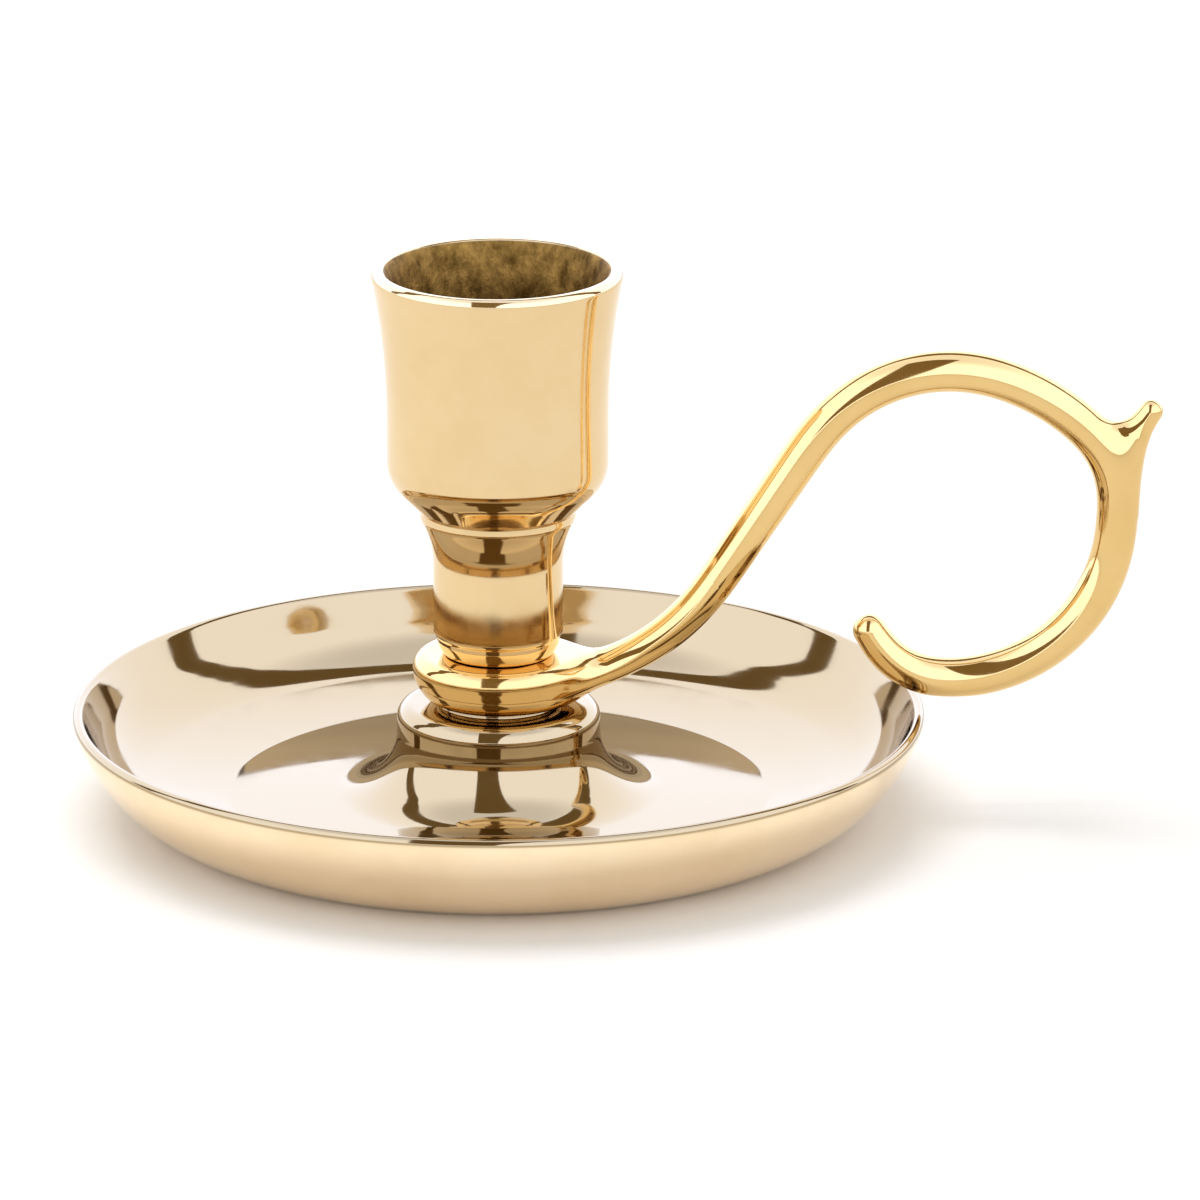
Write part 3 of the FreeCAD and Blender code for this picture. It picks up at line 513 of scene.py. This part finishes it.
# Handle: one brass casting, a ring-shaped eye on the stud and a round bar bent up into an
# open loop for the finger, with a short spur for the thumb. Filed and buffed by hand, so
# that bar, eye and spur run into each other with soft corners.
EYE = 10.07
EYE_FOOT = 8.0
EYE_ROUNDING = 1.7
EYE_WAIST = 17.6
SEAT_EDGE = 0.4
EYE_EDGE = 0.3
EYE_BLEND = 3.0
EYE_REACH = 11.5
FAR = 100.0
TINY = 1e-9
LOOP_START = (3.7, 15.9)
NECK_MIDDLE = 5.0
NECK_END = 12.9
THICKEST_BELOW = 16.0
TIP_TAPER = 3.0
SPUR_START = (72.74, 35.78)
SPUR_HEADING = math.radians(87.0)
SPUR_STRAIGHT = 5.5
SPUR_ARC = 11.0
SPUR_BEND = 41.5
SPUR_NARROWS = 9.0
SPUR_BLEND = 3.6
SPUR_BLEND_RISE = (3.0, 10.0)
SPUR_BLEND_LEAST = 0.02
PATH_STEP = 0.1
PATH_EASE = 2.2
TABLE_EASE = 1.5
TABLE_MARGIN = 6.0
POINTS_AT_ONCE = 20000
SLOPE_REACH = 0.12
HANDLE_CELL = 0.3
HANDLE_LOW = (-11.2, -10.9, 12.9)
HANDLE_HIGH = (78.5, 10.9, 56.6)
SURFACE_PASSES = 4
HANDLE_COLOUR = (0.78, 0.54, 0.225, 1.0)
HANDLE_ROUGHNESS = 0.045


def path_pieces(start, heading, runs):
    """Arcs and straights in the plane (x, z): (start, heading, side, radius, angle or length)."""
    point = np.array(start, float)
    pieces = []
    for side, radius, size in runs:
        direction = np.array([math.cos(heading), math.sin(heading)])
        pieces.append((point, heading, side, radius, size))
        if side == 0:
            point = point + direction * size
            continue
        middle = point + side * radius * np.array([-direction[1], direction[0]])
        heading += side * math.radians(size)
        point = middle - side * radius * np.array([-math.sin(heading), math.cos(heading)])
    return pieces


def eased_line(pieces):
    """Closely spaced points along a path, its bends run into each other by a Gaussian."""
    line = []
    for start, heading, side, radius, size in pieces:
        direction = np.array([math.cos(heading), math.sin(heading)])
        if side == 0:
            t = np.arange(0, size, PATH_STEP)[:, None]
            line.append(start + direction * t)
            continue
        angle = np.arange(0, math.radians(size), PATH_STEP / radius)
        middle = start + side * radius * np.array([-direction[1], direction[0]])
        turned = heading + side * angle
        line.append(middle - side * radius * np.stack([-np.sin(turned), np.cos(turned)], 1))
    line = np.concatenate(line)
    weights = bell(3 * PATH_EASE, PATH_EASE, PATH_STEP)
    reach = len(weights) // 2
    before = 2 * line[0] - line[reach:0:-1]
    after = 2 * line[-1] - line[-2:-reach - 2:-1]
    padded = np.concatenate([before, line, after])
    return np.stack([np.convolve(padded[:, k], weights, "valid") for k in range(2)], 1)


def nearest_on_line(line, x, z):
    """Distance from (x, z) to a line of points, and how far along it the nearest place lies."""
    x, z = np.broadcast_arrays(x, z)
    spots = np.stack([x.ravel(), z.ravel()], 1)
    away = np.empty(len(spots))
    place = np.empty(len(spots))
    ahead = np.diff(line, axis=0)
    length = np.hypot(*ahead.T)
    gone = np.concatenate([[0], np.cumsum(length)])
    for first in range(0, len(spots), POINTS_AT_ONCE):
        part = spots[first:first + POINTS_AT_ONCE]
        gap = ((part ** 2).sum(1)[:, None] - 2 * part @ line.T) + (line ** 2).sum(1)
        near = gap.argmin(1)
        best = np.full(len(part), np.inf)
        at = np.zeros(len(part))
        for shift in (-1, 0):
            k = np.clip(near + shift, 0, len(ahead) - 1)
            t = np.clip(((part - line[k]) * ahead[k]).sum(1) / length[k] ** 2, 0, 1)
            far = np.hypot(*(part - line[k] - t[:, None] * ahead[k]).T)
            at = np.where(far < best, gone[k] + t * length[k], at)
            best = np.minimum(best, far)
        away[first:first + POINTS_AT_ONCE] = best
        place[first:first + POINTS_AT_ONCE] = at
    return away.reshape(x.shape), place.reshape(x.shape)


def joined(a, b, width):
    """Smooth least of two distances: min(a, b) - max(width - |a - b|, 0)^2 / (4 width)."""
    return np.minimum(a, b) - np.maximum(width - np.abs(a - b), 0) ** 2 / (4 * width)


def eased_table(places, values):
    """Function for a size along the bar: straight between places, its kinks eased."""
    fine = np.arange(-TABLE_MARGIN, places[-1] + TABLE_MARGIN, PATH_STEP)
    table = np.interp(fine, places, values)
    weights = bell(3 * TABLE_EASE, TABLE_EASE, PATH_STEP)
    eased = np.convolve(np.pad(table, len(weights) // 2, "edge"), weights, "valid")
    return lambda place: np.interp(place, fine, eased)


# each run is (side, radius, degrees), side +1 for a turn to the left, or (0, 0.0, length)
loop_runs = [
    (1, 26.0, 57.0),
    (0, 0.0, 20.29),
    (-1, 19.0, 74.0),
    (-1, 26.5, 29.0),
    (-1, 11.2, 47.0),
    (0, 0.0, 3.0),
    (-1, 19.5, 90.0),
    (-1, 9.5, 65.3),
]
loop_line = eased_line(path_pieces(LOOP_START, 0.0, loop_runs))
loop_marks = np.cumsum([0.0] + [size if side == 0 else radius * math.radians(size)
                                for side, radius, size in loop_runs])
_, arm_foot, arm_top, _, _, _, loop_side, hook, tip = loop_marks
loop_half = eased_table(
    [0.0, NECK_END, arm_foot, arm_top, loop_side, loop_side + THICKEST_BELOW, hook, tip - TIP_TAPER, tip],
    [2.1, 2.05, 2.25, 2.44, 2.45, 2.5, 2.4, 2.15, 1.85])
neck_half = eased_table([0.0, NECK_MIDDLE, NECK_END, arm_foot, tip], [5.5, 4.3, 2.3, 2.25, 2.25])
spur_runs = [(0, 0.0, SPUR_STRAIGHT), (-1, SPUR_ARC, SPUR_BEND)]
spur_line = eased_line(path_pieces(SPUR_START, SPUR_HEADING, spur_runs))
spur_tip = SPUR_STRAIGHT + SPUR_ARC * math.radians(SPUR_BEND)
spur_half = eased_table([0.0, SPUR_STRAIGHT, SPUR_NARROWS, spur_tip], [2.15, 2.1, 1.85, 1.3])


def handle_field(x, y, z):
    """Signed distance to the handle: eye, bar and spur joined with soft corners.

    bar: k (k - 1) / |gradient of k^2 / 2| with k^2 = (y / w)^2 + (d / h)^2, d from the line in
    the plane, w and h the half width and half depth there. eye: round waist, flat top and
    foot, less the bore. Beyond EYE_REACH the eye's flat top no longer cuts the bar.
    """
    away, place = nearest_on_line(loop_line, x, z)
    half = loop_half(place)
    wide = np.where(place < arm_foot, np.maximum(neck_half(place), half), half)
    share = np.sqrt((y / wide) ** 2 + (away / half) ** 2)
    steep = np.sqrt((y / wide ** 2) ** 2 + (away / half ** 2) ** 2)
    bar = share * (share - 1) / (steep + TINY)
    spur_away, spur_place = nearest_on_line(spur_line, x, z)
    spur = np.sqrt(y ** 2 + spur_away ** 2) - spur_half(spur_place)
    out = np.hypot(x, y)
    waist = EYE_WAIST - SEAT_TOP
    belly = ((EYE - EYE_FOOT) ** 2 + waist ** 2) / (2 * (EYE - EYE_FOOT))
    low = np.hypot(out - (EYE - belly), z - EYE_WAIST) - belly
    corner = EYE - EYE_ROUNDING
    rounded = np.hypot(out - corner, z - EYE_WAIST) - EYE_ROUNDING
    high = np.where(out > corner, rounded, z - EYE_TOP)
    eye = np.where(z < EYE_WAIST, low, high)
    low_place, high_place = SPUR_BLEND_RISE
    grown = np.clip((spur_place - low_place) / (high_place - low_place), SPUR_BLEND_LEAST, 1.0)
    whole = joined(joined(bar, spur, SPUR_BLEND * grown), eye, EYE_BLEND)
    whole = -joined(-whole, z - SEAT_TOP, SEAT_EDGE)
    whole = -joined(-whole, EYE_TOP - z + FAR * (out > EYE_REACH), EYE_EDGE)
    return -joined(-whole, out - STUD_HOLE, EYE_EDGE)


def slope_of(field, points):
    """Unit gradient of a field by central differences."""
    slope = np.empty_like(points)
    for k in range(3):
        shift = np.zeros(3)
        shift[k] = SLOPE_REACH
        slope[:, k] = field(*(points + shift).T) - field(*(points - shift).T)
    return slope / np.maximum(np.linalg.norm(slope, axis=1, keepdims=True), TINY)


def surface_of(field, low, high, cell):
    """Quads over the zero surface of a field: one point per cell that it crosses.

    The point starts at the mean of the crossings of the cell's edges and is then moved
    onto the surface along the gradient.
    """
    axes = [np.arange(low[k], high[k] + cell, cell) for k in range(3)]
    value = field(axes[0][:, None, None], axes[1][None, :, None], axes[2][None, None, :])
    inside = value < 0
    shape = np.array(value.shape) - 1
    total = np.zeros((*shape, 3))
    count = np.zeros(shape)
    for axis in range(3):
        others = [k for k in range(3) if k != axis]
        first = np.take(value, range(shape[axis]), axis)
        second = np.take(value, range(1, shape[axis] + 1), axis)
        crossed = (first < 0) != (second < 0)
        share = np.where(crossed, first / np.where(crossed, first - second, 1), 0)
        for i in (0, 1):
            for j in (0, 1):
                window = [slice(None)] * 3
                window[others[0]] = slice(i, i + shape[others[0]])
                window[others[1]] = slice(j, j + shape[others[1]])
                here = crossed[tuple(window)]
                count += here
                total[..., axis] += np.where(here, share[tuple(window)], 0)
                total[..., others[0]] += here * i
                total[..., others[1]] += here * j
    used = count > 0
    number = np.full(shape, -1)
    number[used] = np.arange(used.sum())
    cells = np.argwhere(used)
    points = np.array(low) + (cells + total[used] / count[used][:, None]) * cell
    quads = []
    for axis in range(3):
        u, v = [(1, 2), (2, 0), (0, 1)][axis]
        change = np.diff(inside.astype(np.int8), axis=axis)
        window = [slice(None)] * 3
        window[u] = slice(1, -1)
        window[v] = slice(1, -1)
        change = change[tuple(window)]
        at = np.argwhere(change != 0)
        sign = change[tuple(at.T)]
        base = at.copy()
        base[:, u] += 1
        base[:, v] += 1
        ring = []
        for du, dv in ((0, 0), (1, 0), (1, 1), (0, 1)):
            corner = base.copy()
            corner[:, u] -= du
            corner[:, v] -= dv
            ring.append(number[tuple(corner.T)])
        ring = np.stack(ring, 1)
        ring[sign < 0] = ring[sign < 0][:, ::-1]
        quads.append(ring)
    quads = np.concatenate(quads)
    for _ in range(SURFACE_PASSES):
        slope = slope_of(field, points)
        points = points - slope * np.clip(field(*points.T), -cell, cell)[:, None]
    return points, quads


handle_points, handle_quads = surface_of(handle_field, HANDLE_LOW, HANDLE_HIGH, HANDLE_CELL)
handle = mesh_object("loop_handle_brass", handle_points, handle_quads)
handle.data.normals_split_custom_set_from_vertices(
    slope_of(handle_field, handle_points).tolist())
handle.data.materials.append(brass("handle_brass", HANDLE_COLOUR, HANDLE_ROUGHNESS))
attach(handle, "root")
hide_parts("loop_handle")


# Fixings: a threaded stud runs from the tapped stem down through the handle's eye and the
# pan, and a plain washer, a spring washer and a nut draw it tight in the hollow underneath.
# All four are bought-in steel, rolled, pressed or cut, and zinc plated.
STUD = 2.48
STUD_ROOT = 2.05
STUD_PITCH = 0.8
STUD_ENDS = (2.0, 30.0)
STUD_CHAMFER = 0.6
STUD_SIDES = 72
STUD_STEP = 0.05
ROOT_FLAT = 0.1
FLANK = 0.25
ZINC_DULL = (0.46, 0.47, 0.46, 1.0)
ZINC_BRIGHT = (0.66, 0.67, 0.69, 1.0)
ZINC_SPANGLE = 900.0
ZINC_ROUGHNESS = (0.22, 0.38)


def threaded_rod(name):
    """Rod whose radius follows a helix: phase = z / pitch - angle / turn, between 0 and 1.

    away = pitch * (1/2 - |phase - 1/2|) is the distance from the root's middle, and
    radius = root + (crest - root) * ((away - root flat) / flank, kept between 0 and 1),
    but never more than the chamfer's cone at either end.
    """
    low, high = STUD_ENDS
    height = np.linspace(low, high, int(round((high - low) / STUD_STEP)) + 1)[:, None]
    angle = 2 * np.pi * np.arange(STUD_SIDES)[None, :] / STUD_SIDES
    phase = (height / STUD_PITCH - angle / (2 * np.pi)) % 1
    away = STUD_PITCH * (0.5 - np.abs(phase - 0.5))
    radius = STUD_ROOT + (STUD - STUD_ROOT) * np.clip((away - ROOT_FLAT) / FLANK, 0, 1)
    radius = np.minimum(radius, STUD - STUD_CHAMFER + np.minimum(height - low, high - height))
    grid = np.stack([radius * np.cos(angle), radius * np.sin(angle),
                     np.repeat(height, STUD_SIDES, 1)], 2)
    return ringed_mesh(name, grid, [[0, 0, low], [0, 0, high]])


def zinc_plate():
    """Plated steel: grey metal in small bright and dull crystals, evenly satin."""
    material, shader, place = metal("zinc_plate")
    nodes = material.node_tree.nodes
    links = material.node_tree.links
    crystals = nodes.new("ShaderNodeTexVoronoi")
    crystals.inputs["Scale"].default_value = ZINC_SPANGLE
    links.new(place, crystals.inputs["Vector"])
    split = nodes.new("ShaderNodeSeparateColor")
    links.new(crystals.outputs["Color"], split.inputs["Color"])
    tint = two_tones(material, split.outputs["Red"], (0.0, 1.0), ZINC_DULL, ZINC_BRIGHT)
    links.new(tint, shader.inputs["Base Color"])
    satin = ranged(material, split.outputs["Green"], (0.0, 1.0), ZINC_ROUGHNESS)
    links.new(satin, shader.inputs["Roughness"])
    return material


zinc = zinc_plate()
stud = threaded_rod("tie_stud_steel")
stud.data.materials.append(zinc)
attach(stud, "root")
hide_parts("tie_stud")
for fixing in ("flat_washer", "spring_washer", "hex_nut"):
    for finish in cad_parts[fixing].material_slots:
        finish.material = zinc


# Studio: pale floor that fills the picture, soft white surroundings with darker gaps that
# the polished metal mirrors, and one large lamp high on the left.
FLOOR_REACH = 9.0
FLOOR_WHITE = (0.93, 0.925, 0.92, 1.0)
FLOOR_ROUGHNESS = 0.9
SKY_WHITE = (1.0, 1.0, 1.0, 1.0)
SKY_STRENGTH = 0.77
TENT_RADIUS = 2.2
TENT_LOWEST = -1
TENT_COLUMNS = 97
TENT_ROWS = 33
TENT_WHITE = (1.84, 2.06, 2.7)
TENT_ROOF = 0.68
TENT_FADE = (1.6, 2.12)
SEAM_DISTANCE = 1.3
SEAM_STEPS = 60
SEAM_BROWN = (0.25, 0.175, 0.08)
LAMP_SIZE = 0.9
LAMP_WATTS = 8.0
LAMP_PLACE = (-0.2, 0.25, 1.2)
LAMP_TILT = (math.radians(-11.8), math.radians(-9.3), 0.0)
CAMERA_PLACE = (0.0, -1.05, 0.3492)
CAMERA_TILT = (math.radians(90 - 17.13), 0.0, math.radians(-0.65))
CAMERA_LENS = 281.5
CAMERA_SENSOR = 36.0
CAMERA_NEAREST = 0.05


def stage_sheet(name, grid):
    """Mesh of a grid of points, one quad between each four neighbours."""
    rows, columns = grid.shape[:2]
    number = np.arange(rows * columns).reshape(rows, columns)
    quads = np.stack([number[:-1, :-1], number[:-1, 1:], number[1:, 1:], number[1:, :-1]], 2)
    mesh = bpy.data.meshes.new(name)
    mesh.from_pydata(grid.reshape(-1, 3).tolist(), [], quads.reshape(-1, 4).tolist())
    thing = bpy.data.objects.new(name, mesh)
    bpy.context.scene.collection.objects.link(thing)
    return thing


edge_x, edge_y = np.meshgrid([-FLOOR_REACH, FLOOR_REACH], [-FLOOR_REACH, FLOOR_REACH])
floor = stage_sheet("floor", np.stack([edge_x, edge_y, 0 * edge_x], 2))
paint = bpy.data.materials.new("floor_white")
paint.use_nodes = True
paint_shader = paint.node_tree.nodes["Principled BSDF"]
paint_shader.inputs["Roughness"].default_value = FLOOR_ROUGHNESS
paint_shader.inputs["Specular IOR Level"].default_value = 0.0
paint_shader.inputs["Base Color"].default_value = FLOOR_WHITE
floor.data.materials.append(paint)

world = bpy.data.worlds.new("studio")
bpy.context.scene.world = world
world.use_nodes = True
sky = world.node_tree.nodes["Background"]
sky.inputs["Color"].default_value = SKY_WHITE
sky.inputs["Strength"].default_value = SKY_STRENGTH


def glow_only_in_mirrors(thing, colour, roof=None):
    """Give a stage object a plain glow that only polished surfaces see.

    With a roof value the glow fades to that share of itself over the heights TENT_FADE.
    """
    material = bpy.data.materials.new(thing.name)
    material.use_nodes = True
    nodes = material.node_tree.nodes
    links = material.node_tree.links
    nodes.clear()
    glow = nodes.new("ShaderNodeEmission")
    glow.inputs["Color"].default_value = (*colour, 1)
    glow.inputs["Strength"].default_value = 1.0
    if roof:
        place = nodes.new("ShaderNodeTexCoord")
        parts = nodes.new("ShaderNodeSeparateXYZ")
        links.new(place.outputs["Object"], parts.inputs["Vector"])
        fade = ranged(material, parts.outputs["Z"], TENT_FADE, (1.0, roof), smooth=True)
        links.new(fade, glow.inputs["Strength"])
    output = nodes.new("ShaderNodeOutputMaterial")
    links.new(glow.outputs["Emission"], output.inputs["Surface"])
    thing.data.materials.append(material)
    thing.visible_camera = False
    thing.visible_diffuse = False
    thing.visible_shadow = False
    thing.visible_transmission = False


def toward(azimuth, elevation):
    """Unit vectors for angles in degrees; azimuth 0 points to the camera, 90 to the right."""
    a, e = np.radians(azimuth), np.radians(elevation)
    return np.stack([np.sin(a) * np.cos(e), -np.cos(a) * np.cos(e), np.sin(e)], -1)


def dark_ribbon(name, places):
    """Band of a tent's seam through given (azimuth, elevation, width) places in degrees."""
    places = np.array(places, float)
    t = np.arange(len(places))
    fine = np.linspace(0, len(places) - 1, SEAM_STEPS)
    line = toward(np.interp(fine, t, places[:, 0]), np.interp(fine, t, places[:, 1]))
    line = (line + np.roll(line, 1, 0) + np.roll(line, -1, 0))[1:-1]
    line /= np.linalg.norm(line, axis=1, keepdims=True)
    side = np.cross(line, np.gradient(line, axis=0))
    side /= np.linalg.norm(side, axis=1, keepdims=True)
    width = np.interp(fine, t, places[:, 2])[1:-1, None]
    half = np.tan(np.radians(width / 2))
    grid = np.stack([line - side * half, line, line + side * half], 1) * SEAM_DISTANCE
    glow_only_in_mirrors(stage_sheet(name, grid), SEAM_BROWN)


# the soft white tent round the table
tent_azimuth, tent_elevation = np.meshgrid(
    np.linspace(-180, 180, TENT_COLUMNS), np.linspace(TENT_LOWEST, 90, TENT_ROWS))
tent = stage_sheet("card_tent", toward(tent_azimuth, tent_elevation) * TENT_RADIUS)
glow_only_in_mirrors(tent, TENT_WHITE, TENT_ROOF)
dark_ribbon("dark_seam_left", [
    (-107, 2, 9), (-107.5, 30, 9), (-110.5, 43, 9), (-122, 49, 9),
    (-147, 52, 10), (-162, 54, 14), (-172, 56, 17), (-184, 57, 18)])
dark_ribbon("dark_seam_right", [
    (103.5, 2, 9), (104.5, 30, 9), (110, 43, 10), (122, 52, 11),
    (138, 56, 13), (160, 57, 16), (172, 57, 17), (184, 57, 18)])
dark_ribbon("dark_opening", [(-12, 3, 22), (-12, 30, 22), (-12, 60, 22), (-12, 84, 22)])

key = bpy.data.lights.new("key", "AREA")
key.shape = "SQUARE"
key.size = LAMP_SIZE
key.energy = LAMP_WATTS
key_object = bpy.data.objects.new("key", key)
key_object.visible_glossy = False
key_object.location = LAMP_PLACE
key_object.rotation_euler = LAMP_TILT
bpy.context.scene.collection.objects.link(key_object)

lens = bpy.data.cameras.new("camera")
lens.sensor_width = CAMERA_SENSOR
lens.lens = CAMERA_LENS
lens.clip_start = CAMERA_NEAREST
camera = bpy.data.objects.new("camera", lens)
camera.location = CAMERA_PLACE
camera.rotation_euler = CAMERA_TILT
bpy.context.scene.collection.objects.link(camera)
bpy.context.scene.camera = camera
bpy.context.scene.view_settings.view_transform = "Standard"
